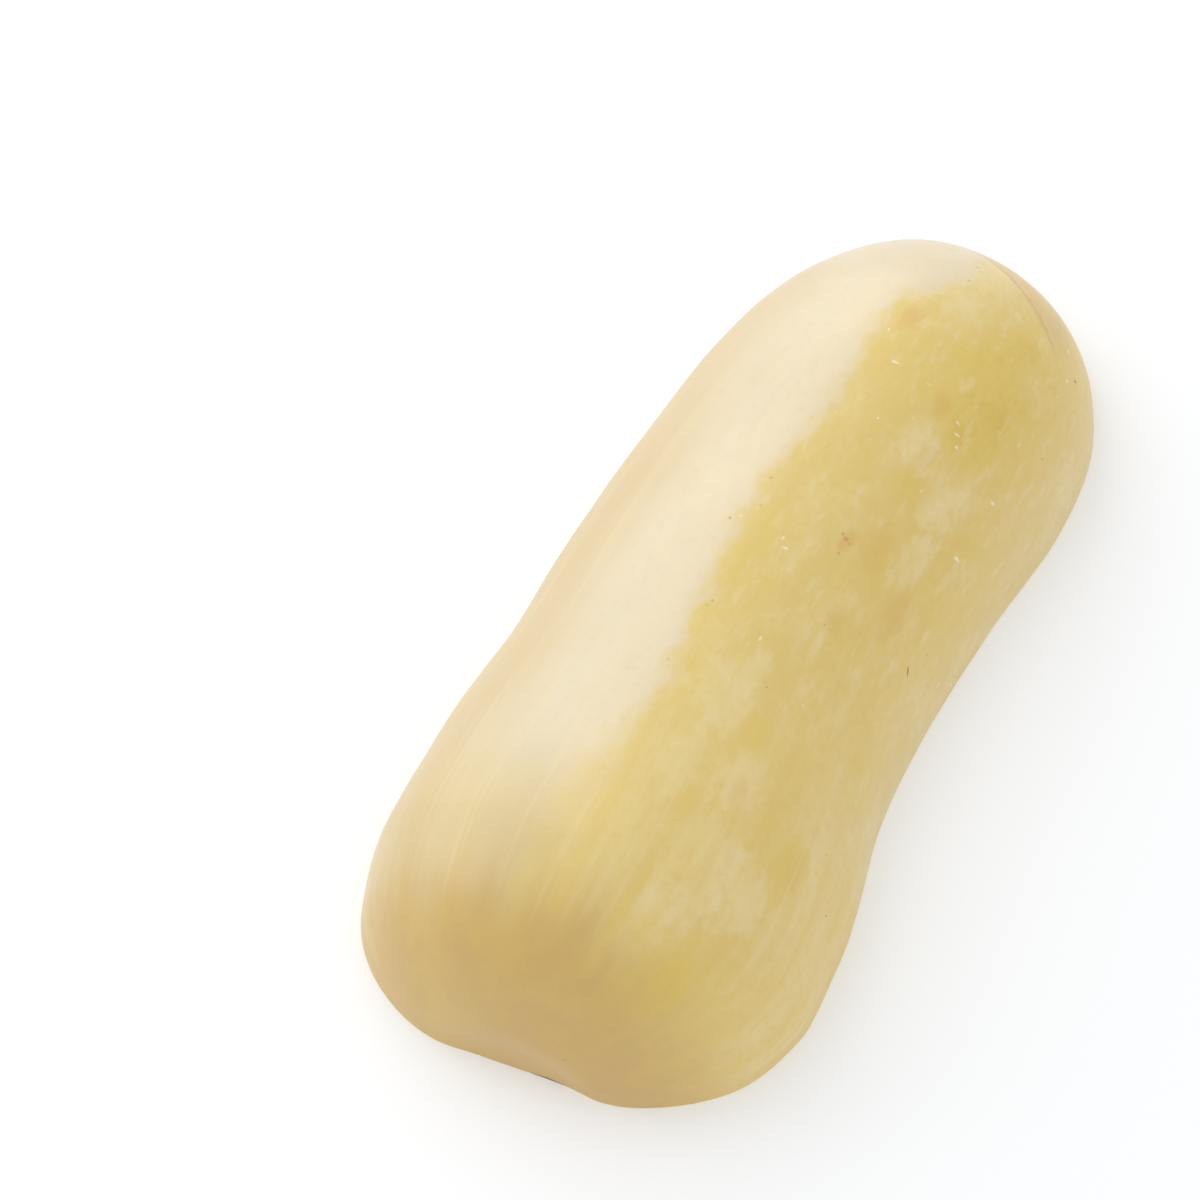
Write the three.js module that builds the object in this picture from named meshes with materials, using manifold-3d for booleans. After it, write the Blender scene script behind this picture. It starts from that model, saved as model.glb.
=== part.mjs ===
// Half of a butternut squash, cut lengthwise and lying on its cut face.
// Millimetres, +Z up. The cut face is z = 0, and +Y runs from the blossom end to the stem end.
// The origin is on the cut face, in the middle of the box round the half.
import * as THREE from "three";
import { mergeVertices } from "three/addons/utils/BufferGeometryUtils.js";
import Module from "manifold-3d";

// Fruit
const LENGTH = 250;
const BULB_RADIUS = 57.5;
const NECK_RADIUS = 51;
const DOME_RATIO = 0.97; // height of the dome over half its width: the knife passed just above the core
const BOW = -5.2; // the neck's middle bows to the left of a straight axis
const SWAY = 0.8;
const RIPPLE = 1.35;
const CHEEK_SKEW = 0.1; // the left cheek reaches further past the blossom scar than the right one
const SKEW_REACH = 140; // the skew fades out this far from the blossom end
const STEM_SKEW = -0.028; // and the right shoulder falls a little short at the stem end
const STEM_SKEW_START = 170;
const BLOSSOM_DIMPLE = 0.4;
const BLOSSOM_SCAR_RADIUS = 13.5;
const BLOSSOM_SINK = 1.5; // the end sinks in round the scar, which the knife left mostly on the other half
const SINK_CENTRE = { x: 13, z: -10.3 };
const SINK_RADIUS = 15.6;
const SINK_REACH = 60;
const STEM_SCAR_RADIUS = 8.5;
const STEM_DIMPLE = 1.6;

// Seed cavity in the bulb, open at the cut face
const CAVITY_STATION = 49; // its middle, from the blossom end
const CAVITY_SEMI_AXES = [32, 30, 26];

// Pulp with its seeds, which fills the cavity almost to the cut face
const PULP_GAP = 0.4;
const PULP_LEVEL = 5; // mean depth of the pulp's face behind the cut face
const PULP_LUMP = 1.4;
const HOLLOWS = [
  { x: 8, y: 12, radius: 10, depth: 9 },
  { x: 16, y: -9, radius: 7, depth: 6 },
  { x: -15, y: 14, radius: 6, depth: 5 },
];
const SEED_COUNT = 9;
const SEED_LENGTH = 15;
const SEED_WIDTH = 9;
const SEED_THICKNESS = 3;
const SEED_SPREAD = 0.6; // how far out the seeds lie, as a share of the cavity's semi-axes
const SEED_CLEARANCE = 0.8; // the seeds stay this far behind the cut face

const AROUND = 64;
const ALONG = 51;
const BLOCK = 400; // a box larger than the fruit, used to halve it

const rind = new THREE.MeshStandardMaterial({ color: 0xe0c88c, roughness: 0.4, metalness: 0 });
const pulpFlesh = new THREE.MeshStandardMaterial({ color: 0xeaa63c, roughness: 0.5, metalness: 0 });

const wasm = await Module();
wasm.setup();

function solidFrom(geometry) {
  geometry.deleteAttribute("normal");
  geometry.deleteAttribute("uv");
  const merged = mergeVertices(geometry, 1e-3);
  return new wasm.Manifold(
    new wasm.Mesh({
      numProp: 3,
      vertProperties: merged.attributes.position.array,
      triVerts: new Uint32Array(merged.index.array),
    }),
  );
}

function geometryFrom(solid) {
  const { vertProperties, triVerts } = solid.getMesh();
  const geometry = new THREE.BufferGeometry();
  geometry.setAttribute("position", new THREE.BufferAttribute(vertProperties, 3));
  geometry.setIndex(new THREE.BufferAttribute(triVerts, 1));
  geometry.computeVertexNormals();
  return geometry;
}

// Moves every vertex of a geometry to where the given rule puts it.
function reshape(geometry, rule) {
  const position = geometry.attributes.position;
  const point = new THREE.Vector3();
  for (let i = 0; i < position.count; i++) {
    point.fromBufferAttribute(position, i);
    rule(point);
    position.setXYZ(i, point.x, point.y, point.z);
  }
  return geometry;
}

// Half the outline of the fruit, as [radius, station], from the blossom scar to the stem scar.
const meridian = new THREE.SplineCurve(
  [
    [0, BLOSSOM_DIMPLE],
    [BLOSSOM_SCAR_RADIUS * 0.8, BLOSSOM_DIMPLE * 0.7],
    [BULB_RADIUS * 0.376, 0],
    [BULB_RADIUS * 0.558, LENGTH * 0.013],
    [BULB_RADIUS * 0.75, LENGTH * 0.041],
    [BULB_RADIUS * 0.893, LENGTH * 0.08],
    [BULB_RADIUS * 0.982, LENGTH * 0.138],
    [BULB_RADIUS, LENGTH * 0.185],
    [BULB_RADIUS * 0.972, LENGTH * 0.29],
    [NECK_RADIUS * 1.018, LENGTH * 0.4],
    [NECK_RADIUS * 1.003, LENGTH * 0.52],
    [NECK_RADIUS, LENGTH * 0.65],
    [NECK_RADIUS, LENGTH * 0.77],
    [NECK_RADIUS * 0.917, LENGTH * 0.865],
    [NECK_RADIUS * 0.739, LENGTH * 0.936],
    [NECK_RADIUS * 0.514, LENGTH * 0.98],
    [STEM_SCAR_RADIUS * 1.6, LENGTH],
    [STEM_SCAR_RADIUS, LENGTH - STEM_DIMPLE],
    [0, LENGTH - STEM_DIMPLE * 0.7],
  ].map(([radius, station]) => new THREE.Vector2(radius, station)),
);

// Bends the straight fruit to its real line, skews both ends, and sinks the blossom end round its scar.
function bendFruit(point) {
  const fromScar = Math.hypot(point.x - SINK_CENTRE.x, point.z - SINK_CENTRE.z);
  const sunk = BLOSSOM_SINK * Math.exp(-((fromScar / SINK_RADIUS) ** 2));
  point.y += sunk * Math.max(0, 1 - point.y / SINK_REACH);
  const share = THREE.MathUtils.clamp(point.y / LENGTH, 0, 1);
  const turn = Math.PI * share;
  const atBlossom = Math.max(0, 1 - point.y / SKEW_REACH) ** 2;
  const atStem = Math.max(0, (point.y - STEM_SKEW_START) / (LENGTH - STEM_SKEW_START)) ** 2;
  point.y += (CHEEK_SKEW * atBlossom + STEM_SKEW * atStem) * point.x;
  point.x += BOW * Math.sin(turn) + SWAY * Math.sin(2 * turn) + RIPPLE * Math.sin(3 * turn);
  point.z *= DOME_RATIO;
}

function makeCavity() {
  return new THREE.SphereGeometry(1, 32, 20)
    .scale(...CAVITY_SEMI_AXES)
    .translate(0, CAVITY_STATION, 0);
}

function makeHalf() {
  const profile = meridian.getPoints(ALONG);
  profile[0].x = 0;
  profile[ALONG].x = 0;
  const halfStep = Math.PI / AROUND; // keeps the lathe's vertices off the cut plane
  const fruit = reshape(new THREE.LatheGeometry(profile, AROUND, halfStep), bendFruit);
  const below = new THREE.BoxGeometry(BLOCK, 2 * BLOCK, BLOCK).translate(0, 0, -BLOCK / 2);
  return solidFrom(fruit).subtract(solidFrom(below)).subtract(solidFrom(makeCavity()));
}

// Depth of the pulp's face behind the cut face, at a place measured from the cavity's middle.
function pulpDepth(x, y) {
  const lumps = PULP_LUMP * Math.sin(0.31 * x + 0.8) * Math.cos(0.27 * y - 0.5);
  const dips = HOLLOWS.map(
    ({ x: cx, y: cy, radius, depth }) =>
      depth * Math.exp(-((x - cx) ** 2 + (y - cy) ** 2) / radius ** 2),
  );
  return PULP_LEVEL + lumps + dips.reduce((sum, dip) => sum + dip, 0);
}

// A ball whose upper half lies in the cavity's wall and whose lower half is the lumpy open face.
function makePulpMass() {
  const [across, along, deep] = CAVITY_SEMI_AXES.map((semiAxis) => semiAxis - PULP_GAP);
  const rimShare = Math.sqrt(1 - (PULP_LEVEL / deep) ** 2);
  return reshape(new THREE.SphereGeometry(1, 36, 20), (point) => {
    const raised = PULP_LEVEL + (deep - PULP_LEVEL) * Math.max(point.z, 0);
    const wallShare = point.z > 0 ? Math.sqrt(1 - (raised / deep) ** 2) : rimShare;
    const flat = Math.hypot(point.x, point.y);
    const outward = point.z > 0 && flat > 0 ? wallShare / flat : rimShare;
    const x = across * point.x * outward;
    const y = along * point.y * outward;
    const face = THREE.MathUtils.lerp(PULP_LEVEL, pulpDepth(x, y), Math.min(1, -2 * point.z));
    point.set(x, y + CAVITY_STATION, point.z > 0 ? raised : face);
  });
}

// One flat seed, pointed at one end, tilted out of the pulp's face.
function makeSeed(index) {
  const goldenTurn = index * Math.PI * (3 - Math.sqrt(5));
  const reach = SEED_SPREAD * Math.sqrt((index + 0.5) / SEED_COUNT);
  const x = CAVITY_SEMI_AXES[0] * reach * Math.cos(goldenTurn);
  const y = CAVITY_SEMI_AXES[1] * reach * Math.sin(goldenTurn);
  const seed = reshape(new THREE.SphereGeometry(0.5, 12, 6), (point) => {
    point.y *= 1 - 0.9 * Math.max(0, point.x); // narrows towards the tip
    point.set(point.x * SEED_LENGTH, point.y * SEED_WIDTH, point.z * SEED_THICKNESS);
  });
  seed.rotateX(0.25 * Math.sin(2.3 * index));
  seed.rotateZ(goldenTurn + 0.6 * Math.sin(1.7 * index));
  seed.computeBoundingBox();
  const lowest = Math.max(pulpDepth(x, y) - SEED_THICKNESS * 0.6, SEED_CLEARANCE);
  return seed.translate(x, y + CAVITY_STATION, lowest - seed.boundingBox.min.z);
}

function makePulp() {
  let pulp = solidFrom(makePulpMass());
  for (let index = 0; index < SEED_COUNT; index++) {
    pulp = pulp.add(solidFrom(makeSeed(index)));
  }
  return pulp;
}

function nodeFrom(name, solid, material) {
  const node = new THREE.Mesh(geometryFrom(solid), material);
  node.name = name;
  return node;
}

const half = nodeFrom("squash_half", makeHalf(), rind);
const pulp = nodeFrom("seed_pulp", makePulp(), pulpFlesh);

const middle = new THREE.Box3().setFromObject(half).getCenter(new THREE.Vector3());
const squash = new THREE.Group();
for (const node of [half, pulp]) {
  node.position.set(-middle.x, -middle.y, 0);
  squash.add(node);
}

export default squash;
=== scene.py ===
"""Looks of the butternut squash half: waxy mottled skin, cut flesh, and the seed cavity with its pulp."""
import math
import random

import bmesh
import bpy
from mathutils import Matrix, Vector, noise


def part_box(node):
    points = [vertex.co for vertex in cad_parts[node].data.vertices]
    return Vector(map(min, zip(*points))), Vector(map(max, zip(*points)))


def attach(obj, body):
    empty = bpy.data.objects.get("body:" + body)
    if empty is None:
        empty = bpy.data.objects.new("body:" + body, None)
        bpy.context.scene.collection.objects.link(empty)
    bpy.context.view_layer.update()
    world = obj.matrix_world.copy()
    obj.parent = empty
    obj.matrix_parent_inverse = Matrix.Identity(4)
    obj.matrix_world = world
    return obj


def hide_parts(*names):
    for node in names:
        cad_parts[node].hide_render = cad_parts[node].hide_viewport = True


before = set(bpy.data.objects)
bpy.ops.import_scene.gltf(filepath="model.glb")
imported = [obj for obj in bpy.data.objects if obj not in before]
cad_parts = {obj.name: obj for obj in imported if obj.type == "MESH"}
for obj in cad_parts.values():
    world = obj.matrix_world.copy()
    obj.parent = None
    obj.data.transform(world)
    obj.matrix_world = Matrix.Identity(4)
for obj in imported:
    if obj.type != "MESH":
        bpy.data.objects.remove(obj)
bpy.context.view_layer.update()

MM = 0.001

# The fruit, as in the part's source
LENGTH = 250 * MM
BULB_RADIUS = 57.5 * MM
NECK_RADIUS = 51 * MM
DOME_RATIO = 0.97
BOW = -5.2 * MM
SWAY = 0.8 * MM
RIPPLE = 1.35 * MM
CHEEK_SKEW = 0.1
SKEW_REACH = 140 * MM
STEM_SKEW = -0.028
STEM_SKEW_START = 170 * MM
BLOSSOM_DIMPLE = 0.4 * MM
BLOSSOM_SCAR_RADIUS = 13.5 * MM
BLOSSOM_SINK = 1.5 * MM
SINK_CENTRE = (13 * MM, -10.3 * MM)
SINK_RADIUS = 15.6 * MM
SINK_REACH = 60 * MM
STEM_SCAR_RADIUS = 8.5 * MM
STEM_DIMPLE = 1.6 * MM
CAVITY_SEMI_AXES = (32 * MM, 30 * MM, 26 * MM)
PULP_GAP = 0.4 * MM
PULP_LEVEL = 5 * MM
PULP_LUMP = 1.4 * MM
PULP_HOLLOWS = [(8, 12, 10, 9), (16, -9, 7, 6), (-15, 14, 6, 5)]
SEED_COUNT = 9
SEED_LENGTH = 15 * MM
SEED_WIDTH = 9 * MM
SEED_THICKNESS = 3 * MM
SEED_SPREAD = 0.6
SEED_CLEARANCE = 0.8 * MM

# The middle of the cavity's mouth
pulp_low, pulp_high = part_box("seed_pulp")
CAVITY_MIDDLE = (pulp_low + pulp_high) / 2
CAVITY_MIDDLE.z = 0

# Low relief: heights, and how many waves of the noise there are to a metre
SKIN_LUMPS = [(0.45 * MM, 38), (0.16 * MM, 95)]
WALL_DENTS = [(0.9 * MM, 160), (0.5 * MM, 400)]
SKIN_RIBS = 11
RIB_HEIGHT = 0.22 * MM
POLE_SHIFT = 4 * MM  # the blossom end's middle lies this far to the right
POLE_REACH = 50 * MM
STRING_COUNT = 110
STRING_CUTS = 11

# How finely the skin is modelled, and the rings of the cut face inside it
SKIN_STATIONS = 170
SKIN_TURNS = 136
RIM_STEPS = (0.45 * MM, 0.8 * MM, 1.5 * MM, 2.5 * MM)
FLESH_DEPTH = 9 * MM  # how deep inside the rim the plain flesh counts as lying
CAVITY_DEPTH = 30 * MM  # and the wall of the cavity
RIM_END = 2.6 * MM  # the rim stops this far short of the stem end, clear of the stem's scar
CUT_EDGE_LIFT = 0.3 * MM  # rounds the edge between the skin and the cut face
SHARP_ANGLE = 0.6

MERIDIAN = [
    (0, BLOSSOM_DIMPLE),
    (BLOSSOM_SCAR_RADIUS * 0.8, BLOSSOM_DIMPLE * 0.7),
    (BULB_RADIUS * 0.376, 0),
    (BULB_RADIUS * 0.558, LENGTH * 0.013),
    (BULB_RADIUS * 0.75, LENGTH * 0.041),
    (BULB_RADIUS * 0.893, LENGTH * 0.08),
    (BULB_RADIUS * 0.982, LENGTH * 0.138),
    (BULB_RADIUS, LENGTH * 0.185),
    (BULB_RADIUS * 0.972, LENGTH * 0.29),
    (NECK_RADIUS * 1.018, LENGTH * 0.4),
    (NECK_RADIUS * 1.003, LENGTH * 0.52),
    (NECK_RADIUS, LENGTH * 0.65),
    (NECK_RADIUS, LENGTH * 0.77),
    (NECK_RADIUS * 0.917, LENGTH * 0.865),
    (NECK_RADIUS * 0.739, LENGTH * 0.936),
    (NECK_RADIUS * 0.514, LENGTH * 0.98),
    (STEM_SCAR_RADIUS * 1.6, LENGTH),
    (STEM_SCAR_RADIUS, LENGTH - STEM_DIMPLE),
    (0, LENGTH - STEM_DIMPLE * 0.7),
]


def tint(red, green, blue):
    """A colour given as 0 to 255 on screen, as the linear colour that a shader takes."""
    linear = []
    for level in (red / 255, green / 255, blue / 255):
        linear.append(level / 12.92 if level <= 0.04045 else ((level + 0.055) / 1.055) ** 2.4)
    return (*linear, 1.0)


def meridian_point(share):
    """Radius and station on the fruit's outline, from 0 at the blossom scar to 1 at the stem scar."""
    spot = share * (len(MERIDIAN) - 1)
    index = min(int(spot), len(MERIDIAN) - 2)
    weight = spot - index
    ends = []
    for offset in (-1, 0, 1, 2):
        place = min(max(index + offset, 0), len(MERIDIAN) - 1)
        ends.append(Vector(MERIDIAN[place]))
    before, start, end, after = ends
    leave = (end - before) / 2
    arrive = (after - start) / 2
    cubic = 2 * start - 2 * end + leave + arrive
    square = 3 * end - 3 * start - 2 * leave - arrive
    return ((cubic * weight + square) * weight + leave) * weight + start


def bend_fruit(point):
    """Bends the straight fruit to its real line, skews both ends, and sinks the blossom end."""
    from_scar = math.hypot(point.x - SINK_CENTRE[0], point.z - SINK_CENTRE[1])
    sunk = BLOSSOM_SINK * math.exp(-(from_scar / SINK_RADIUS) ** 2)
    point.y += sunk * max(0, 1 - point.y / SINK_REACH)
    turn = math.pi * min(max(point.y / LENGTH, 0), 1)
    at_blossom = max(0, 1 - point.y / SKEW_REACH) ** 2
    at_stem = max(0, (point.y - STEM_SKEW_START) / (LENGTH - STEM_SKEW_START)) ** 2
    point.y += (CHEEK_SKEW * at_blossom + STEM_SKEW * at_stem) * point.x
    point.x += BOW * math.sin(turn) + SWAY * math.sin(2 * turn) + RIPPLE * math.sin(3 * turn)
    point.z *= DOME_RATIO


def relief(place, waves):
    """Height of low noise at a place."""
    return sum(height * noise.noise(place * pitch) for height, pitch in waves)


def new_piece(name, bm, materials, node):
    """Makes a smooth mesh the object of a piece, with its place in the model."""
    for face in bm.faces:
        face.smooth = True
    mesh = bpy.data.meshes.new(name)
    bm.to_mesh(mesh)
    bm.free()
    for material in materials:
        mesh.materials.append(material)
    piece = bpy.data.objects.new(name, mesh)
    bpy.context.scene.collection.objects.link(piece)
    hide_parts(node)
    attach(piece, "root")
    return piece


class Wire:
    """A value inside a material. Arithmetic on it adds Math nodes."""

    def __init__(self, tree, socket=None):
        self.tree = tree
        self.socket = socket

    def node(self, kind, settings, sockets, out=0):
        """Adds a node with its settings and the values or links of its sockets, and returns an output."""
        made = self.tree.nodes.new(kind)
        for name, value in settings.items():
            if name == "stops":
                self._set_stops(made.color_ramp, value)
            else:
                setattr(made, name, value)
        for key, value in sockets.items():
            if isinstance(value, Wire):
                self.tree.links.new(value.socket, made.inputs[key])
            else:
                made.inputs[key].default_value = value
        return Wire(self.tree, made.outputs[out]) if made.outputs else None

    def _set_stops(self, ramp, stops):
        while len(ramp.elements) < len(stops):
            ramp.elements.new(0.5)
        for element, (position, colour) in zip(ramp.elements, stops):
            element.position = position
            element.color = colour

    def _math(self, operation, first, second):
        return self.node("ShaderNodeMath", {"operation": operation}, {0: first, 1: second})

    def __add__(self, other):
        return self._math("ADD", self, other)

    __radd__ = __add__

    def __sub__(self, other):
        return self._math("SUBTRACT", self, other)

    def __rsub__(self, other):
        return self._math("SUBTRACT", other, self)

    def __mul__(self, other):
        return self._math("MULTIPLY", self, other)

    __rmul__ = __mul__

    def __truediv__(self, other):
        return self._math("DIVIDE", self, other)

    def __rtruediv__(self, other):
        return self._math("DIVIDE", other, self)

    def __abs__(self):
        return self._math("ABSOLUTE", self, 0.0)

    def most(self, other):
        """The larger of two values."""
        return self._math("MAXIMUM", self, other)

    def ease(self, low, high):
        """0 below low, 1 above high and smooth between. With low above high it falls instead."""
        settings = {"interpolation_type": "SMOOTHSTEP"}
        if low <= high:
            return self.node("ShaderNodeMapRange", settings, {0: self, 1: low, 2: high, 3: 0.0, 4: 1.0})
        return self.node("ShaderNodeMapRange", settings, {0: self, 1: high, 2: low, 3: 1.0, 4: 0.0})

    def blend(self, below, above):
        """This value mixes one colour into another."""
        settings = {"data_type": "RGBA", "blend_type": "MIX"}
        return self.node("ShaderNodeMix", settings, {0: self, 6: below, 7: above}, out=2)

    def part(self, axis):
        """One coordinate of a place."""
        return self.node("ShaderNodeSeparateXYZ", {}, {0: self}, out=axis)

    def stretch(self, along_x, along_y, along_z, shift=(0, 0, 0)):
        """The place with each coordinate multiplied, to draw a pattern out or squeeze it."""
        sockets = {0: self, 1: shift, 3: (along_x, along_y, along_z)}
        return self.node("ShaderNodeMapping", {"vector_type": "POINT"}, sockets)

    def cloud(self, scale=1.0, detail=2.0, roughness=0.5, distortion=0.0):
        """Soft noise about 0.5 at this place."""
        sockets = {"Vector": self, "Scale": scale, "Detail": detail}
        sockets.update({"Roughness": roughness, "Distortion": distortion})
        return self.node("ShaderNodeTexNoise", {"noise_dimensions": "3D"}, sockets)

    def _vector_math(self, operation, other=(0, 0, 0), out=0):
        return self.node("ShaderNodeVectorMath", {"operation": operation}, {0: self, 1: other}, out)

    def minus(self, spot):
        """The place as seen from a spot."""
        return self._vector_math("SUBTRACT", spot)

    def ray(self):
        """The direction in which the place lies from zero."""
        return self._vector_math("NORMALIZE")

    def length(self):
        """How far the place lies from zero."""
        return self._vector_math("LENGTH", out=1)

    def toward(self, direction):
        """How far along a direction the place lies."""
        return self._vector_math("DOT_PRODUCT", direction, out=1)

    def near(self, spot):
        """Distance from a spot given in millimetres."""
        return self._vector_math("DISTANCE", tuple(value * MM for value in spot), out=1)

    def bump(self):
        """This height as a surface normal."""
        return self.node("ShaderNodeBump", {}, {"Strength": 1.0, "Distance": 1.0, "Height": self})


def new_material(name):
    """An empty material, with a wire to build on."""
    material = bpy.data.materials.new(name)
    material.use_nodes = True
    material.node_tree.nodes.clear()
    return material, Wire(material.node_tree)


def finish_material(wire, settings):
    """Joins the values to the surface."""
    shader = wire.node("ShaderNodeBsdfPrincipled", {}, settings)
    wire.node("ShaderNodeOutputMaterial", {}, {"Surface": shader})


def object_place(wire):
    return wire.node("ShaderNodeTexCoord", {}, {}, out="Object")


def own_value(wire, name):
    """A value that the piece's mesh carries at each vertex."""
    return wire.node("ShaderNodeAttribute", {"attribute_name": name}, {}, out="Fac")


# Tones of the skin, from the palest to the deepest ripe tone
RIPE_TONES = [
    (0.0, tint(237, 217, 169)),
    (0.3, tint(232, 208, 141)),
    (0.5, tint(227, 198, 116)),
    (0.75, tint(225, 196, 98)),
    (1.0, tint(220, 185, 84)),
]
BEIGE = tint(215, 200, 168)
# Painted reflection: the peach of orange light reflected onto the left flank
PAINTED_PEACH_REFLECTION = tint(204, 180, 129)
TAN = tint(204, 168, 96)
BROWN = tint(164, 108, 38)

# Marks on the skin in millimetres: place, radius, strength
SCABS = [
    ((14, 18.7, 45.7), 0.8, 0.4),
    ((12.8, 19.4, 46.3), 0.55, 0.4),
    ((15.2, 18.2, 45.1), 0.5, 0.4),
    ((-12.5, 8.8, 49.1), 0.75, 0.7),
    ((-5, -13.6, 49.8), 0.5, 0.45),
    ((19.9, -3.5, 43.1), 0.4, 0.8),
    ((26, 5, 38.9), 0.42, 0.75),
    ((34.1, -4.9, 31.5), 0.4, 0.75),
    ((40.2, 11.7, 21.7), 0.5, 0.5),
    ((46, -50.5, 27.8), 0.5, 0.55),
    ((51.7, -61.6, 20.6), 0.5, 0.65),
    ((37, 99.2, 22.3), 0.85, 0.85),
    ((40.8, 72.7, 26.1), 0.45, 0.6),
]
RIPER_PATCHES = [
    ((20, 78, 43), 15, 0.2),
    ((27, 62, 40), 8, 0.16),
    ((21, 18, 42), 7, 0.14),
    ((20, -38, 47), 4, 0.16),
    ((42, -62, 36), 6, 0.3),
    ((30, -103, 39.5), 7, 0.2),
    ((25, 103, 32), 14, 0.18),
    ((42.5, -27, 23), 8, 0.22),
    ((21, 43.5, 43), 5, 0.16),
]
PALER_PATCHES = [
    ((16.5, 51, 45.5), 6, 0.34),
    ((28, 44, 39), 7, 0.22),
    ((8, 101, 40), 13, 0.28),
    ((29, 25, 37), 5, 0.2),
    ((10, -33, 49.6), 8, 0.26),
    ((5, 8, 48), 5, 0.1),
    ((12, -55, 53), 7, 0.16),
    ((24, -76, 51), 10, 0.2),
    ((23, -94, 48.7), 7, 0.16),
    ((23.5, -52, 48.5), 6, 0.26),
    ((37, -77, 42.5), 7, 0.28),
]
STAINS = [
    ((14, 18.7, 45.7), 2.4, 0.4),
    ((20.5, 20, 42.6), 4, 0.2),
    ((31.5, 11.3, 34), 4, 0.25),
    ((21, -1, 42), 2.2, 0.2),
    ((16.5, 63, 46), 2.2, 0.3),
    ((19.5, 50, 43.5), 2.5, 0.2),
    ((-1, 82, 48), 3, 0.3),
    ((43, -62, 35), 3, 0.2),
    ((25, -55, 48), 3, 0.2),
]
PATCH_STRETCH = 0.6  # patches are drawn out along the fruit by one over this


def patch(place, spot, radius, ragged):
    """A ragged patch, drawn out along the fruit. Its place and radius are in millimetres."""
    drawn = place.stretch(1, PATCH_STRETCH, 1)
    away = drawn.near((spot[0], spot[1] * PATCH_STRETCH, spot[2])) / (radius * MM)
    return (away + (ragged - 0.5) * 2.2).ease(1.3, 0.4)


def scatter(wire, place, scale, reach, share, shake):
    """Small spots strewn over the skin: one in each of a share of random cells."""
    settings = {"feature": "F1", "voronoi_dimensions": "3D"}
    sockets = {"Vector": place, "Scale": scale, "Randomness": 1.0}
    away = wire.node("ShaderNodeTexVoronoi", settings, sockets, out="Distance")
    pick = wire.node("ShaderNodeTexVoronoi", settings, sockets, out="Color").part(0)
    return (away + shake).ease(reach, reach * 0.5) * pick.ease(share, share - 0.05)


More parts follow.
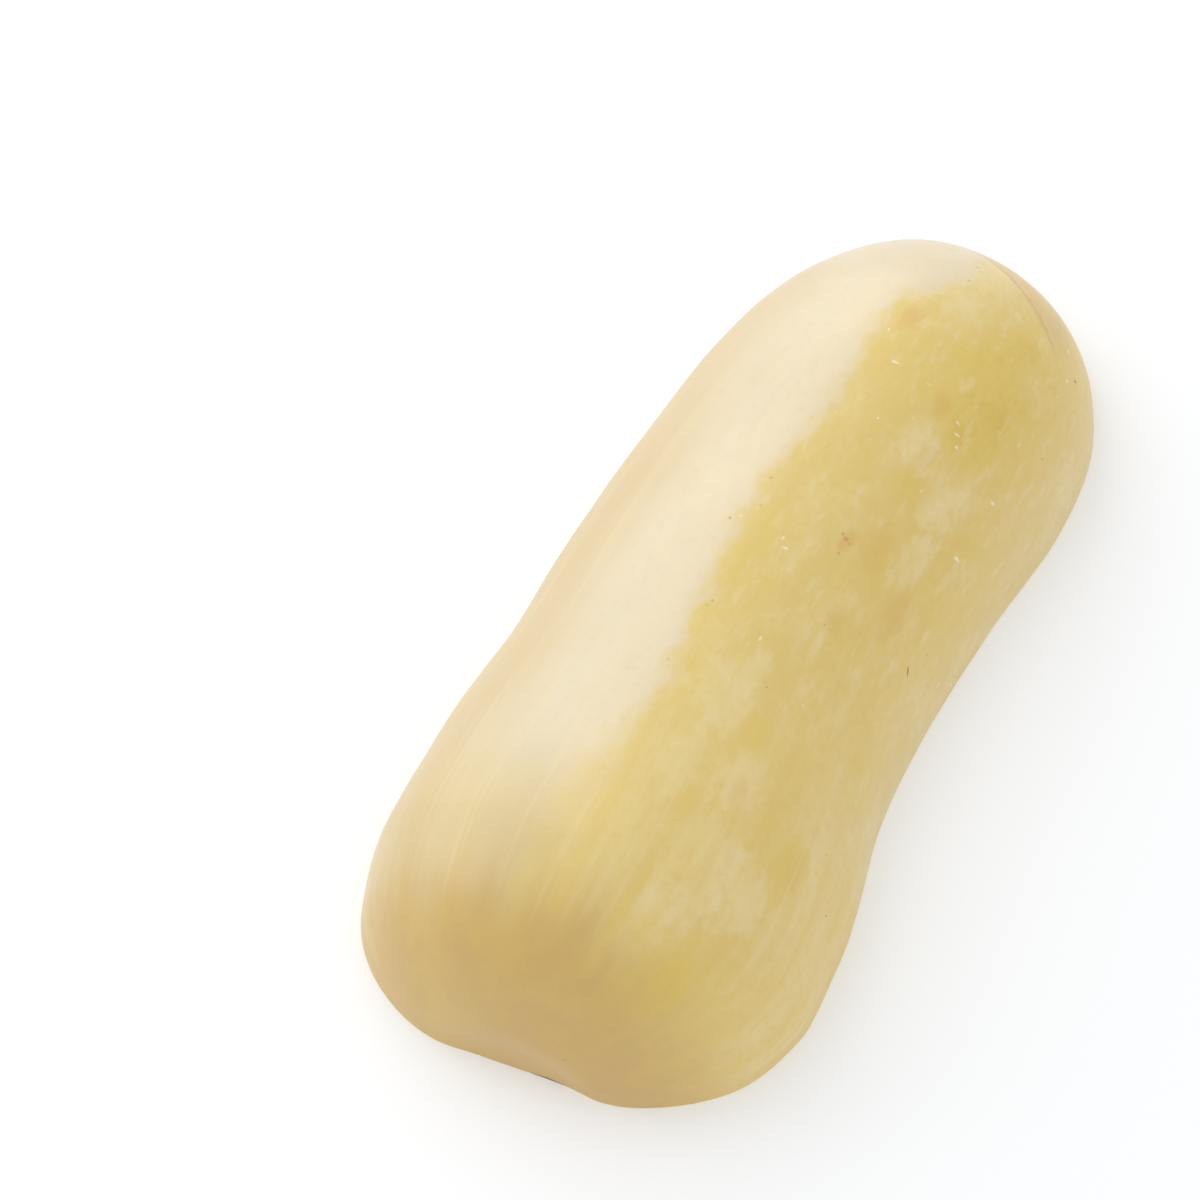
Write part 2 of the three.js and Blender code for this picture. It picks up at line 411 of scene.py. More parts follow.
def paint_skin():
    """Waxy skin: pale on the left, mottled yellow on the right, tan in front, with its marks and scars.
    Some light is painted in: a sheen along the ripe line, an orange reflection on the left flank, partly a
    pale reflection toward the neck's right edge, and shading in front and at the blossom end's lower edge.
    """
    material, wire = new_material("waxy_skin")
    place = object_place(wire)
    x = place.part(0)
    y = place.part(1)
    around = own_value(wire, "around")
    along = own_value(wire, "along")
    ring = wire.node("ShaderNodeCombineXYZ", {}, {0: around, 1: along, 2: 0.0})

    drift = place.stretch(34, 20, 34).cloud(detail=2)
    ragged = place.stretch(180, 110, 180, (3, 5, 1)).cloud(detail=5, roughness=0.66)
    blotch = place.stretch(85, 38, 85, (3.1, 0.4, 7.7)).cloud(detail=5, roughness=0.62)
    cloudy = place.stretch(210, 90, 210, (9.3, 2.6, 1.2)).cloud(detail=5, roughness=0.68)
    off_pole = place.near((6, -124, 0)).ease(0.018, 0.062)
    streak = ring.stretch(6, 5, 1).cloud(detail=4, roughness=0.58, distortion=0.3)
    streak = (streak - 0.5) * off_pole + 0.5
    thread = ring.stretch(24, 9, 1, (4, 1, 0)).cloud(detail=4, roughness=0.6, distortion=0.4)
    thread = thread * off_pole
    smear = place.stretch(240, 90, 240, (1.7, 6.1, 3.3)).cloud(detail=5, roughness=0.7)
    grain = place.cloud(scale=420, detail=3, roughness=0.6)

    # The ripe yellow side starts at a ragged line along the top of the neck
    on_neck = (y + (drift - 0.5) * 0.03).ease(-0.06, -0.02)
    on_bulb = 1 - on_neck
    bay = y.ease(0.05, 0.022) * y.ease(-0.02, 0.01)
    side = x + bay * 0.0045 + 0.0055 - y.ease(0.082, 0.105) * 0.01
    side = side + (drift - 0.5) * 0.01 + (ragged - 0.5) * 0.014
    side = side - y.ease(-0.022, -0.036) * 0.0025
    blurred = y.ease(-0.035, -0.085)
    ripe = side.ease(-0.005, 0.003) * (1 - blurred) + side.ease(-0.015, 0.01) * blurred
    lobe = (place.near((-1, -19, 50)) + (ragged - 0.5) * 0.006).ease(0.0078, 0.006)
    ripe = ripe.most(lobe)

    tone = (blotch - 0.5) * 0.75 * on_neck + (streak - 0.5) * 1.0 * on_bulb + 0.52
    tone = tone + (cloudy - 0.5) * (on_neck * 0.3 + 0.2) + (grain - 0.5) * 0.2
    for spot, radius, strength in RIPER_PATCHES:
        tone = tone + patch(place, spot, radius, ragged) * strength
    for spot, radius, strength in PALER_PATCHES:
        tone = tone - patch(place, spot, radius, ragged) * strength
    # Paler toward the neck's right edge: partly the skin's own tone, partly a painted reflection of the
    # pale room at the grazing edge
    tone = tone - x.ease(0.036, 0.056) * 0.12
    colour = wire.node("ShaderNodeValToRGB", {"stops": RIPE_TONES}, {0: tone})
    # Partly painted reflection: pale beige along the neck's right edge, where the pale room is reflected
    # at a grazing angle
    colour = (x.ease(0.036, 0.05) * on_neck * 0.35).blend(colour, tint(222, 203, 156))
    colour = (side.ease(0.034, 0.008) * 0.24).blend(colour, tint(225, 205, 128))
    colour = (smear.ease(0.52, 0.7) * on_neck * 0.34).blend(colour, tint(238, 222, 178))
    for spot, radius, strength in STAINS:
        colour = (patch(place, spot, radius, ragged) * strength).blend(colour, tint(214, 164, 76))

    pale_side_and_painted_light = (cloudy.ease(0.4, 0.7) * 0.4).blend(BEIGE, tint(219, 198, 152))
    # Painted sheen: the pale side is made lighter along the ripe line, in place of the softbox's
    # reflection there
    pale_side_and_painted_light = (side.ease(-0.026, -0.004) * 0.8).blend(pale_side_and_painted_light, tint(231, 214, 178))
    pale_side_and_painted_light = (y.ease(-0.058, -0.09) * 0.85).blend(pale_side_and_painted_light, tint(207, 183, 121))
    # Painted reflection: the left flank is tinted peach for orange light reflected onto it
    pale_side_and_painted_light = (x + (drift - 0.5) * 0.02).ease(-0.022, -0.05).blend(pale_side_and_painted_light, PAINTED_PEACH_REFLECTION)
    flank = x.ease(-0.024, -0.05) * 0.32
    pale_side_and_painted_light = (streak.ease(0.52, 0.66) * flank).blend(pale_side_and_painted_light, tint(228, 208, 162))
    pale_side_and_painted_light = (streak.ease(0.48, 0.34) * flank).blend(pale_side_and_painted_light, tint(192, 164, 112))
    pale_side_and_painted_light = (blotch.ease(0.5, 0.7) * flank).blend(pale_side_and_painted_light, tint(214, 188, 130))
    colour = ripe.blend(pale_side_and_painted_light, colour)
    # Tan in front: partly the skin's own tone, partly painted shading where the bulb faces down and away
    # from the light
    front = (y + abs(x - 0.004) * 0.2 + (streak - 0.5) * 0.03).ease(-0.088, -0.112)
    golden = blotch.ease(0.38, 0.62).blend(TAN, tint(209, 174, 94))
    colour = (front * 0.92).blend(colour, golden)
    # Painted shading: darker near the blossom end's lower edge, where it meets the table
    colour = (place.near((11, -124, 8)).ease(0.03, 0.01) * 0.3).blend(colour, tint(186, 144, 84))
    colour = (thread.ease(0.5, 0.74) * (on_bulb * 0.2 + 0.08)).blend(colour, tint(232, 212, 160))
    colour = (grain.ease(0.5, 0.8) * 0.14).blend(colour, tint(204, 172, 98))

    # A pinkish line round the shoulder of the stem end, and the warmer skin behind it
    level = place.toward((-0.391, -0.583, 0.712)) + 0.0487 + (ragged - 0.5) * 0.005
    by_line = place.near((15, 111, 32)).ease(0.024, 0.012)
    colour = (level.ease(0.0005, -0.003) * by_line * 0.5).blend(colour, tint(214, 176, 112))
    colour = (abs(level).ease(0.0013, 0.0003) * by_line * 0.42).blend(colour, tint(196, 142, 90))

    shake = (grain - 0.5) * 0.3
    nick = scatter(wire, place.stretch(1, 0.42, 1), 230.0, 0.1, 0.36, shake)
    scratch = scatter(wire, place.stretch(0.42, 1, 0.42, (0.3, 0.1, 0)), 210.0, 0.1, 0.34, shake)
    nicked = nick.most(scratch) * ripe * on_neck * blotch.ease(0.4, 0.56)
    colour = (nicked * 0.8).blend(colour, tint(248, 240, 214))

    speck = scatter(wire, place, 75.0, 0.032, 0.4, (grain - 0.5) * 0.03)
    near_line = side.ease(-0.006, -0.002) * side.ease(0.006, 0.002) * on_neck
    crumb = scatter(wire, place, 330.0, 0.2, 0.5, shake) * near_line * blotch.ease(0.42, 0.55)
    colour = (speck * 0.5).blend(colour, tint(160, 118, 60))
    colour = (crumb * 0.45).blend(colour, tint(186, 142, 76))
    for spot, radius, strength in SCABS:
        edge = place.near(spot) + (grain - 0.5) * radius * 1.4 * MM
        colour = (edge.ease(radius * MM, radius * MM * 0.3) * strength).blend(colour, BROWN)
    slit_across = (place.toward((-0.368, -0.633, 0.687)) + 0.00017) / 0.0003
    slit_along = (place.toward((-0.31, 0.777, 0.55)) - 0.00466) / 0.0016
    slit = (slit_across * slit_across + slit_along * slit_along).ease(1, 0.3)
    slit = slit * place.near((38.8, 4.2, 24.4)).ease(0.003, 0.0025)
    colour = (slit * 0.8).blend(colour, tint(112, 76, 30))

    scar = place.near((10, -124.5, -12.5)) + (grain - 0.5) * 2 * MM
    scarred = scar.ease(0.0142, 0.0132)
    stem = place.near((-0.5, 125.5, 0)) + (grain - 0.5) * 1.6 * MM
    stemmed = stem.ease(0.0098, 0.0088)
    corked = scarred.most(stemmed)
    cork = grain.ease(0.35, 0.7).blend(tint(104, 78, 50), tint(146, 116, 80))
    crack = place.stretch(1, 0, 1).ray().cloud(scale=4, detail=3, roughness=0.7).ease(0.5, 0.56)
    fresh = crack.blend(tint(176, 146, 98), tint(112, 82, 50))
    cork = (stemmed * stem.ease(0.002, 0.005) * 0.6).blend(cork, fresh)
    cork = (stemmed * stem.ease(0.0066, 0.0085) * 0.7).blend(cork, tint(190, 160, 108))
    colour = corked.blend(colour, cork)

    pores = place.cloud(scale=1500, detail=2, roughness=0.6)
    swell = place.cloud(scale=130, detail=2)
    height = (pores - 0.5) * 0.012 * MM + (swell - 0.5) * 0.1 * MM + (thread - 0.5) * 0.04 * MM
    height = height + corked * (grain - 0.5) * 0.8 * MM - speck * 0.05 * MM - nicked * 0.06 * MM
    shine = (grain - 0.5) * 0.12 + corked * 0.4 + 0.35
    finish_material(wire, {
        "Base Color": colour,
        "Roughness": shine,
        "Specular IOR Level": 0.75,
        "Normal": height.bump(),
    })
    return material


def paint_flesh():
    """Cut flesh: grained and orange-yellow, with a bright yellow rim under the skin."""
    material, wire = new_material("cut_flesh")
    place = object_place(wire)
    depth = own_value(wire, "rim_depth")
    fibre = place.stretch(300, 110, 300).cloud(detail=5, roughness=0.65, distortion=0.6)
    patch_tone = place.stretch(48, 26, 48, (5, 1, 2)).cloud(detail=4, roughness=0.6)
    fleck = place.stretch(620, 240, 620, (2, 8, 1)).cloud(detail=3, roughness=0.62)

    colour = patch_tone.ease(0.36, 0.64).blend(tint(242, 202, 120), tint(246, 217, 158))
    colour = (fibre.ease(0.54, 0.68) * 0.5).blend(colour, tint(240, 196, 84))
    colour = (fleck.ease(0.54, 0.7) * 0.45).blend(colour, tint(250, 229, 180))
    grain = place.stretch(1100, 480, 1100, (4, 3, 9)).cloud(detail=3, roughness=0.6, distortion=0.8)
    colour = (grain.ease(0.53, 0.66) * 0.45).blend(colour, tint(238, 198, 88))
    wander = depth + (patch_tone - 0.5) * 11 * MM + (fibre - 0.5) * 2.4 * MM
    colour = (wander.ease(0.0058, 0.0026) * 0.4).blend(colour, tint(240, 204, 92))
    colour = (wander.ease(0.0036, 0.0026) * 0.85).blend(colour, tint(236, 212, 56))
    colour = depth.ease(0.0008, 0.0004).blend(colour, tint(226, 212, 148))

    away = place.minus(CAVITY_MIDDLE)
    reach = away.stretch(1 / CAVITY_SEMI_AXES[0], 1 / CAVITY_SEMI_AXES[1], 0).length()
    reach = reach + (fibre - 0.5) * 0.2
    inside = place.part(2).ease(0.0003, 0.002)
    colour = (reach.ease(1.3, 1.06) * 0.6).blend(colour, tint(249, 224, 162))
    colour = (reach.ease(1.1, 1.01) * fibre.ease(0.4, 0.6) * 0.6).blend(colour, tint(240, 182, 70))
    colour = inside.blend(colour, tint(232, 168, 66))
    height = (fibre - 0.5) * 0.3 * MM + (fleck - 0.5) * 0.14 * MM + (patch_tone - 0.5) * 0.4 * MM
    finish_material(wire, {
        "Base Color": colour,
        "Roughness": 0.24 + fleck * 0.28,
        "Normal": height.bump(),
    })
    return material


def paint_pulp():
    """Golden pulp with painted shading in its folds and pits, and its pale strings."""
    material, wire = new_material("stringy_pulp")
    place = object_place(wire)
    sunk = own_value(wire, "relief")
    string = own_value(wire, "string")
    flat = place.minus(CAVITY_MIDDLE).stretch(1, 1, 0)
    ray = flat.ray()
    fan = {0: ray.part(0) * 9, 1: ray.part(1) * 9, 2: flat.length() * 90 + place.part(2) * 160}
    strand = wire.node("ShaderNodeCombineXYZ", {}, fan).cloud(detail=4, roughness=0.65, distortion=0.7)
    lump = place.cloud(scale=150, detail=4, roughness=0.6, distortion=0.6)
    fuzz = place.cloud(scale=900, detail=3, roughness=0.6)

    colour = lump.ease(0.36, 0.62).blend(tint(246, 156, 34), tint(250, 198, 88))
    colour = (strand.ease(0.48, 0.62) * 0.6).blend(colour, tint(254, 224, 144))
    # Painted shading: the deeper the pulp's face lies, the darker it is, in its folds and pits
    colour = (sunk.ease(0.2, 0.9) * 0.85).blend(colour, tint(186, 80, 18))
    colour = (sunk.ease(0.05, -0.25) * 0.55).blend(colour, tint(254, 226, 150))
    strung = fuzz.ease(0.3, 0.7).blend(tint(246, 200, 108), tint(253, 230, 168))
    colour = (string * 0.9).blend(colour, strung)
    height = (lump - 0.5) * 0.8 * MM + (strand - 0.5) * 0.5 * MM + (fuzz - 0.5) * 0.12 * MM
    finish_material(wire, {
        "Base Color": colour,
        "Roughness": 0.26 + strand * 0.2,
        "Coat Weight": 0.2,
        "Normal": height.bump(),
    })
    return material


def paint_seeds():
    """Cream seed coat with a tan edge."""
    material, wire = new_material("cream_seed_coat")
    place = object_place(wire)
    edge = own_value(wire, "seed_edge")
    mottle = place.cloud(scale=500, detail=3, roughness=0.6)
    colour = mottle.ease(0.35, 0.7).blend(tint(232, 214, 160), tint(244, 234, 196))
    colour = (edge.ease(0.72, 0.9) * 0.55).blend(colour, tint(222, 192, 118))
    height = (mottle - 0.5) * 0.1 * MM
    finish_material(wire, {
        "Base Color": colour,
        "Roughness": 0.3 + mottle * 0.2,
        "Normal": height.bump(),
    })
    return material


def paint_floor():
    """Plain pale table."""
    material, wire = new_material("white_table")
    place = object_place(wire)
    haze = place.cloud(scale=3, detail=2)
    colour = haze.blend(tint(227, 229, 232), tint(230, 232, 234))
    finish_material(wire, {
        "Base Color": colour,
        "Roughness": 0.9,
        "Specular IOR Level": 0.1,
        "Emission Color": (1, 1, 1, 1),
        "Emission Strength": FLOOR_GLOW,
    })
    return material


def make_squash(skin, flesh):
    """The half: its skin spun over the top, its cut face below, and the cavity in that face."""
    bm = bmesh.new()
    around = bm.verts.layers.float.new("around")
    along = bm.verts.layers.float.new("along")
    rim_depth = bm.verts.layers.float.new("rim_depth")

    outline = []
    for index in range(SKIN_STATIONS + 1):
        radius, station = meridian_point(index / SKIN_STATIONS)
        outline.append(bm.verts.new((-max(radius, 0), station, 0)))
    outline[0].co.x = 0
    outline[-1].co.x = 0
    for first, second in zip(outline, outline[1:]):
        bm.edges.new((first, second))
    line = list(bm.verts) + list(bm.edges)
    bmesh.ops.spin(bm, geom=line, cent=(0, 0, 0), axis=(0, 1, 0), angle=math.pi, steps=SKIN_TURNS)
    bmesh.ops.remove_doubles(bm, verts=bm.verts, dist=1e-6)

    for vert in bm.verts:
        place = vert.co.copy()
        radius = math.hypot(place.x, place.z)
        vert[around] = math.atan2(max(place.z, 0), -place.x)
        vert[along] = place.y
        lump = relief(place, SKIN_LUMPS)
        lump += RIB_HEIGHT * math.cos(SKIN_RIBS * vert[around]) * max(0, 1 - place.y / (0.5 * LENGTH))
        swell = 1 + lump / BULB_RADIUS * min(1, radius / (20 * MM))
        vert.co = (place.x * swell, place.y, place.z * swell)
        if place.y < LENGTH / 2:
            vert.co.x += POLE_SHIFT * max(0, 1 - radius / POLE_REACH) ** 2
        bend_fruit(vert.co)
    corner_low = Vector(min(vert.co[axis] for vert in bm.verts) for axis in range(3))
    corner_high = Vector(max(vert.co[axis] for vert in bm.verts) for axis in range(3))
    low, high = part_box("squash_half")
    shift = (low + high - corner_low - corner_high) / 2
    shift.z = 0
    bmesh.ops.translate(bm, verts=bm.verts, vec=shift)

    skin_faces = set(bm.faces)
    edge_line = [edge for edge in bm.edges if edge.is_boundary]
    for edge in edge_line:
        for vert in edge.verts:
            vert.co.z = 0
    face = bmesh.ops.edgeloop_fill(bm, edges=edge_line)["faces"][0]
    level_end = high.y - RIM_END
    for step in RIM_STEPS:
        bmesh.ops.inset_region(bm, faces=[face], thickness=step, use_boundary=True)
        for vert in face.verts:
            clipped = min(vert.co.y, level_end)
            vert[rim_depth] += step + vert.co.y - clipped
            vert.co.y = clipped
    for vert in bm.verts:
        sides = [side in skin_faces for side in vert.link_faces]
        if any(sides) and not all(sides):
            vert.co.z = CUT_EDGE_LIFT
    for vert in face.verts:
        vert[rim_depth] = FLESH_DEPTH
    inner_line = list(face.edges)
    bmesh.ops.delete(bm, geom=[face], context="FACES_ONLY")

    old = set(bm.verts)
    bmesh.ops.create_uvsphere(bm, u_segments=96, v_segments=48, radius=1)
    ball = [vert for vert in bm.verts if vert not in old]
    bmesh.ops.scale(bm, vec=CAVITY_SEMI_AXES, verts=ball)
    bmesh.ops.translate(bm, vec=CAVITY_MIDDLE, verts=ball)
    linked = {edge for vert in ball for edge in vert.link_edges}
    sides = {side for vert in ball for side in vert.link_faces}
    bmesh.ops.bisect_plane(
        bm,
        geom=ball + list(linked) + list(sides),
        dist=1e-6,
        plane_co=(0, 0, 0),
        plane_no=(0, 0, 1),
        clear_inner=True,
    )
    ball = [vert for vert in bm.verts if vert not in old]
    mouth = [edge for edge in bm.edges if edge.is_boundary and edge.verts[0] not in old]
    for vert in ball:
        vert[rim_depth] = CAVITY_DEPTH
        outward = (vert.co - CAVITY_MIDDLE).normalized()
        moved = vert.co + outward * relief(vert.co, WALL_DENTS)
        vert.co = (moved.x, moved.y, 0 if vert.co.z < 1e-6 else max(moved.z, 0))
    bmesh.ops.triangle_fill(bm, use_beauty=True, edges=inner_line + mouth, normal=(0, 0, -1))
    bmesh.ops.recalc_face_normals(bm, faces=bm.faces)
    for face in bm.faces:
        face.material_index = 0 if face in skin_faces else 1
    for edge in bm.edges:
        if edge.calc_face_angle(0) > SHARP_ANGLE:
            edge.smooth = False
    return new_piece("squash_skin_and_flesh", bm, [skin, flesh], "squash_half")


def cavity_spot(turn, reach):
    """A place in the cavity's mouth, from its middle: a turn, and a share of the way out to the wall."""
    x = math.cos(turn) * CAVITY_SEMI_AXES[0] * reach
    y = math.sin(turn) * CAVITY_SEMI_AXES[1] * reach
    return Vector((x, y, 0))


def pulp_depth(x, y):
    """Depth of the pulp's face behind the cut face, at a place in metres from the cavity's middle."""
    lumps = PULP_LUMP * math.sin(0.31 * x / MM + 0.8) * math.cos(0.27 * y / MM - 0.5)
    dips = 0
    for middle_x, middle_y, radius, depth in PULP_HOLLOWS:
        away = (x / MM - middle_x) ** 2 + (y / MM - middle_y) ** 2
        dips += depth * MM * math.exp(-away / radius ** 2)
    return PULP_LEVEL + lumps + dips


# Small pits left by loosened seeds, in a row along one side
PIT_COUNT = 10


def pulp_relief(x, y):
    """How far the pulp's face lies behind its smooth level, in millimetres: folds, crumbs and pits."""
    flat = Vector((x, y, 0))
    fold = abs(noise.noise(flat * 120 + Vector((3, 1, 0.4)))) + 0.5 * abs(noise.noise(flat * 290))
    sunk = 3.4 * (fold - 0.32) + 0.6 * noise.noise(flat * 700)
    for index in range(PIT_COUNT):
        middle = cavity_spot(2.3 + 0.14 * index, 0.72 + 0.05 * math.sin(2.1 * index))
        radius = 0.9 + 0.4 * abs(math.sin(1.7 * index)) + 0.5 * noise.noise(flat * 500)
        away = math.hypot(x - middle.x, y - middle.y) / MM
        sunk += 3 * math.exp(-(away / radius) ** 2)
    return sunk


def tuft_rise(x, y):
    """How far the tufts stand up towards the cut face on the blossom side, in millimetres."""
    out = math.hypot(x / CAVITY_SEMI_AXES[0], y / CAVITY_SEMI_AXES[1])
    blossom_side = min(1, max(0, 0.35 - y / CAVITY_SEMI_AXES[1]))
    return 3.4 * blossom_side * min(1, max(0, 2 * out - 0.7))


def behind_cut(depth):
    """Keeps a depth a little behind the cut face, without a flat spot."""
    spare = depth - 0.6 * MM
    return 0.6 * MM + (spare + math.hypot(spare, 0.8 * MM)) / 2


def make_pulp(material):
    """The pulp: one lumpy mass that lies in the cavity."""
    bm = bmesh.new()
    relief_layer = bm.verts.layers.float.new("relief")
    across, along, deep = (semi_axis - PULP_GAP for semi_axis in CAVITY_SEMI_AXES)
    rim_share = math.sqrt(1 - (PULP_LEVEL / deep) ** 2)
    bmesh.ops.create_uvsphere(bm, u_segments=220, v_segments=150, radius=1)
    for vert in bm.verts:
        point = vert.co.copy()
        flat = math.hypot(point.x, point.y)
        raised = PULP_LEVEL + (deep - PULP_LEVEL) * max(point.z, 0)
        share = rim_share
        if point.z > 0 and flat > 1e-6:
            share = math.sqrt(max(0, 1 - (raised / deep) ** 2)) / flat
        x = across * point.x * share
        y = along * point.y * share
        depth = raised
        if point.z <= 0:
            weight = min(1, -2 * point.z)
            sunk = pulp_relief(x, y) * min(1, 0.5 - 5 * point.z)
            vert[relief_layer] = sunk / 3
            depth += (pulp_depth(x, y) - PULP_LEVEL) * weight + (sunk - tuft_rise(x, y)) * MM
        vert.co = (CAVITY_MIDDLE.x + x, CAVITY_MIDDLE.y + y, behind_cut(depth))
    bmesh.ops.remove_doubles(bm, verts=bm.verts, dist=1e-7)
    bmesh.ops.recalc_face_normals(bm, faces=bm.faces)
    return new_piece("pulp_mass", bm, [material], "seed_pulp")


def make_strings(material):
    """The strings of pulp that cross the cavity."""
    bm = bmesh.new()
    string_layer = bm.verts.layers.float.new("string")
    chance = random.Random(7)
    for _ in range(STRING_COUNT):
        add_string(bm, chance, string_layer)
    bmesh.ops.recalc_face_normals(bm, faces=bm.faces)
    return new_piece("pulp_strings", bm, [material], "seed_pulp")


def add_string(bm, chance, string_layer):
    """One string of pulp from the cavity's wall over the mass."""
    on_neck_side = chance.random() < 0.8
    turn = chance.gauss(math.pi / 2, 0.7) if on_neck_side else chance.uniform(0, 2 * math.pi)
    level = chance.uniform(1.2, 9) * MM
    wall = math.sqrt(1 - (level / CAVITY_SEMI_AXES[2]) ** 2) * 1.04
    start = cavity_spot(turn, wall)
    start.z = level
    turn += chance.uniform(-0.5, 0.5)
    reach = chance.uniform(0.05, 0.75)
    end = cavity_spot(turn, reach)
    end.z = pulp_depth(end.x, end.y)
    sway = chance.uniform(-3, 3) * MM
    wave = chance.uniform(0, 6)
    thick = chance.uniform(0.1, 0.32) * MM
    bmesh.ops.create_cone(bm, cap_ends=True, segments=6, radius1=1, radius2=1, depth=1)
    fresh = [vert for vert in bm.verts if vert[string_layer] == 0]
    lengthwise = {edge for vert in fresh for edge in vert.link_edges}
    lengthwise = [edge for edge in lengthwise if abs(edge.verts[0].co.z - edge.verts[1].co.z) > 0.5]
    bmesh.ops.subdivide_edges(bm, edges=lengthwise, cuts=STRING_CUTS)
    heading = (end - start).normalized()
    side = heading.cross(Vector((0, 0, 1))).normalized()
    rise = side.cross(heading)
    for vert in [vert for vert in bm.verts if vert[string_layer] == 0]:
        vert[string_layer] = 1
        share = vert.co.z + 0.5
        hump = math.sin(math.pi * share)
        radius = thick * (0.7 + 1.2 * (1 - share) ** 2)
        path = start.lerp(end, share)
        path += side * (sway * hump + 0.5 * MM * hump * math.sin(wave + 9 * share))
        sunk = min(pulp_relief(path.x, path.y), 1) - tuft_rise(path.x, path.y)
        path.z = min(path.z, behind_cut(pulp_depth(path.x, path.y) + sunk * MM) - thick * 0.5)
        path.z = max(path.z, radius + 0.3 * MM)
        vert.co = CAVITY_MIDDLE + path + side * vert.co.x * radius + rise * vert.co.y * radius


def make_seeds(material):
    """The flat seeds, pointed at one end, each lying in the pulp's face."""
    bm = bmesh.new()
    seed_edge = bm.verts.layers.float.new("seed_edge")
    for index in range(SEED_COUNT):
        golden_turn = index * math.pi * (3 - math.sqrt(5))
        reach = SEED_SPREAD * math.sqrt((index + 0.5) / SEED_COUNT)
        middle = cavity_spot(golden_turn, reach)
        old = set(bm.verts)
        bmesh.ops.create_uvsphere(bm, u_segments=36, v_segments=20, radius=0.5)
        seed = [vert for vert in bm.verts if vert not in old]
        for vert in seed:
            point = vert.co.copy()
            out = math.hypot(point.x, point.y) * 2
            vert[seed_edge] = out
            lip = 1 + 0.45 * math.exp(-((out - 0.86) / 0.07) ** 2)
            dish = 1 - 0.28 * math.exp(-((out - 0.66) / 0.16) ** 2)
            width = 1 - 0.9 * max(0, point.x)
            vert.co.x = point.x * SEED_LENGTH
            vert.co.y = point.y * SEED_WIDTH * width
            vert.co.z = point.z * SEED_THICKNESS * lip * dish
        tilt = Matrix.Rotation(0.25 * math.sin(2.3 * index), 3, "X")
        swing = Matrix.Rotation(golden_turn + 0.6 * math.sin(1.7 * index), 3, "Z")
        bmesh.ops.rotate(bm, verts=seed, cent=(0, 0, 0), matrix=swing @ tilt)
        lowest = min(vert.co.z for vert in seed)
        middle.z = max(pulp_depth(middle.x, middle.y) - SEED_THICKNESS * 0.6, SEED_CLEARANCE) - lowest
        bmesh.ops.translate(bm, verts=seed, vec=CAVITY_MIDDLE + middle)
    return new_piece("seeds", bm, [material], "seed_pulp")


# The view and the light of the photo
CAMERA_TURN = math.radians(28.54)
CAMERA_RISE = math.radians(61.11)
CAMERA_DISTANCE = 1.1014
CAMERA_LENS = 132.47
LOOK_LEFT = math.radians(2.05)
LOOK_UP = math.radians(0.858)
FLOOR_GLOW = 0.25
SKY_STRENGTH = 0.78
SOFTBOX_RADIANCE = 1.2
SOFTBOX_SIZE = (1.9, 1.3)
SOFTBOX_BEARING = Vector((-0.78, 0.2, 0.59))
SOFTBOX_LONG_SIDE = Vector((0.167, -0.845, 0.506))
SOFTBOX_CORNER = Vector((0.438, -0.253, 0.67)) * 0.98  # its front right corner, from its bearing
FLOOR_HALF_SIZE = 4
FLOOR_GAP = 0.2 * MM  # keeps the floor just below the cut face


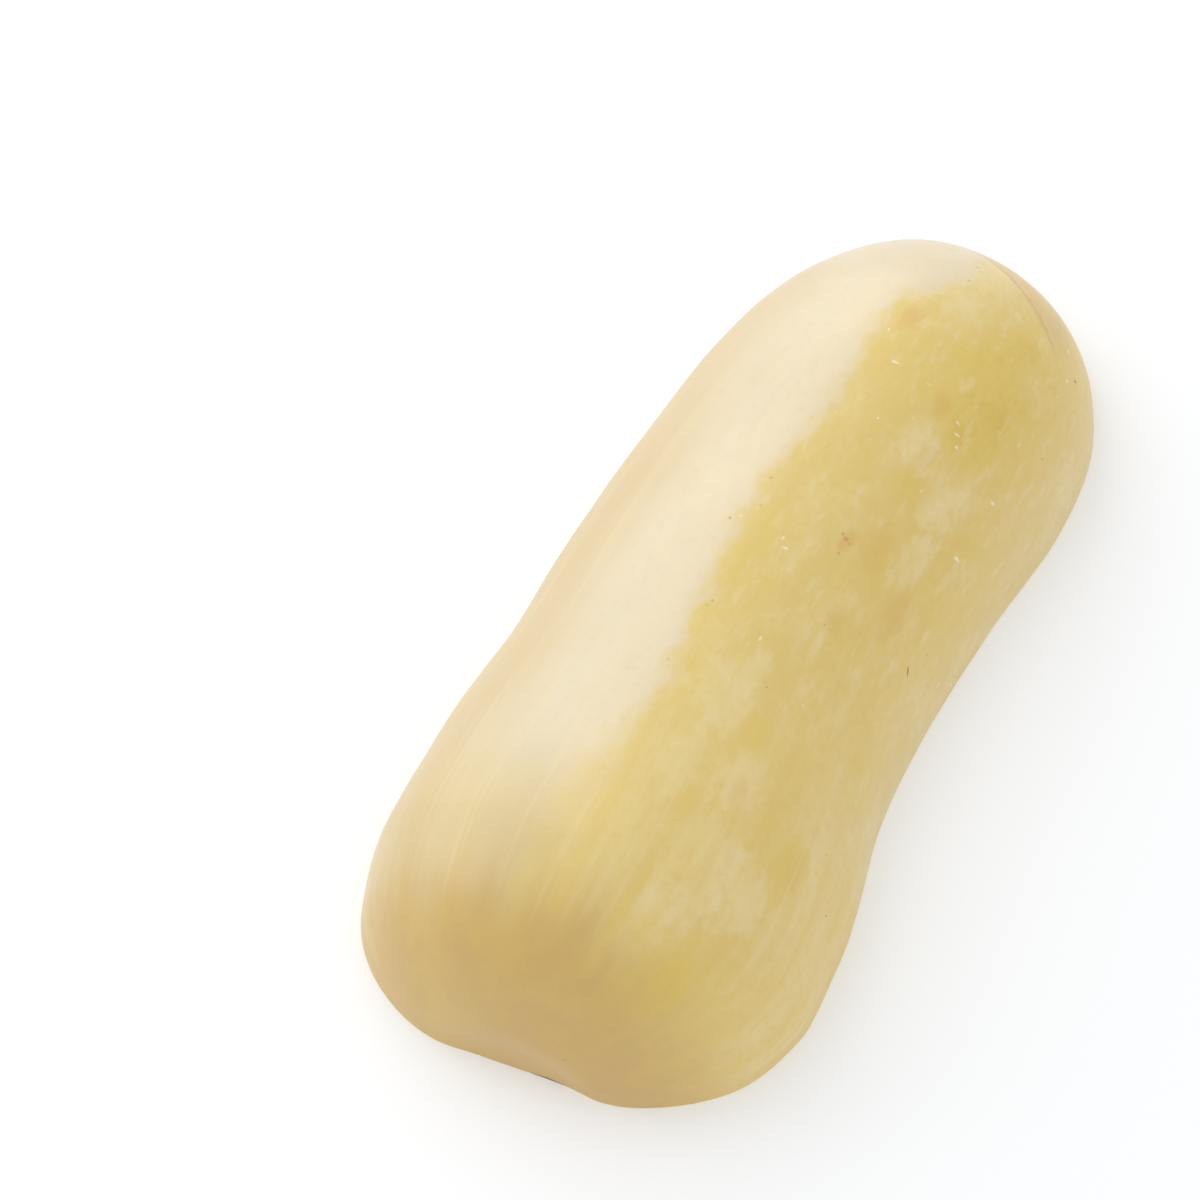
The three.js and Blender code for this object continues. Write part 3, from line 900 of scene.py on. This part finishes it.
def make_camera():
    data = bpy.data.cameras.new("photo_view")
    data.sensor_width = 36
    data.lens = CAMERA_LENS
    camera = bpy.data.objects.new("photo_view", data)
    bpy.context.scene.collection.objects.link(camera)
    flat = math.cos(CAMERA_RISE)
    back = Vector((math.sin(CAMERA_TURN) * flat, -math.cos(CAMERA_TURN) * flat, math.sin(CAMERA_RISE)))
    right = Vector((math.cos(CAMERA_TURN), math.sin(CAMERA_TURN), 0))
    axes = Matrix((right, back.cross(right), back)).transposed()
    turned = axes @ Matrix.Rotation(LOOK_LEFT, 3, "Y") @ Matrix.Rotation(LOOK_UP, 3, "X")
    camera.matrix_world = Matrix.Translation(back * CAMERA_DISTANCE) @ turned.to_4x4()
    bpy.context.scene.camera = camera


def make_floor():
    bm = bmesh.new()
    bmesh.ops.create_grid(bm, x_segments=8, y_segments=8, size=FLOOR_HALF_SIZE)
    bmesh.ops.translate(bm, verts=bm.verts, vec=(0, 0, -FLOOR_GAP))
    mesh = bpy.data.meshes.new("table")
    bm.to_mesh(mesh)
    bm.free()
    mesh.materials.append(paint_floor())
    floor = bpy.data.objects.new("table", mesh)
    bpy.context.scene.collection.objects.link(floor)


def make_light():
    """A large softbox on the left and behind, and an even pale room."""
    world = bpy.data.worlds.new("pale_room")
    bpy.context.scene.world = world
    world.use_nodes = True
    room = world.node_tree.nodes["Background"]
    room.inputs["Color"].default_value = (1, 1, 1, 1)
    room.inputs["Strength"].default_value = SKY_STRENGTH
    data = bpy.data.lights.new("softbox", "AREA")
    data.shape = "RECTANGLE"
    data.size, data.size_y = SOFTBOX_SIZE
    data.energy = SOFTBOX_RADIANCE * math.pi * SOFTBOX_SIZE[0] * SOFTBOX_SIZE[1]
    softbox = bpy.data.objects.new("softbox", data)
    bpy.context.scene.collection.objects.link(softbox)
    outward = SOFTBOX_BEARING.normalized()
    long_side = SOFTBOX_LONG_SIDE - outward * SOFTBOX_LONG_SIDE.dot(outward)
    long_side.normalize()
    short_side = outward.cross(long_side)
    turn = Matrix((long_side, short_side, outward)).transposed().to_4x4()
    corner = outward + SOFTBOX_CORNER
    centre = corner - long_side * SOFTBOX_SIZE[0] / 2 - short_side * SOFTBOX_SIZE[1] / 2
    softbox.matrix_world = Matrix.Translation(centre) @ turn
    softbox.visible_camera = False
    scene = bpy.context.scene
    scene.view_settings.view_transform = "Standard"
    scene.view_settings.look = "None"


make_camera()
make_light()
make_floor()
make_squash(paint_skin(), paint_flesh())
pulp_look = paint_pulp()
make_pulp(pulp_look)
make_strings(pulp_look)
make_seeds(paint_seeds())

bpy.context.view_layer.update()
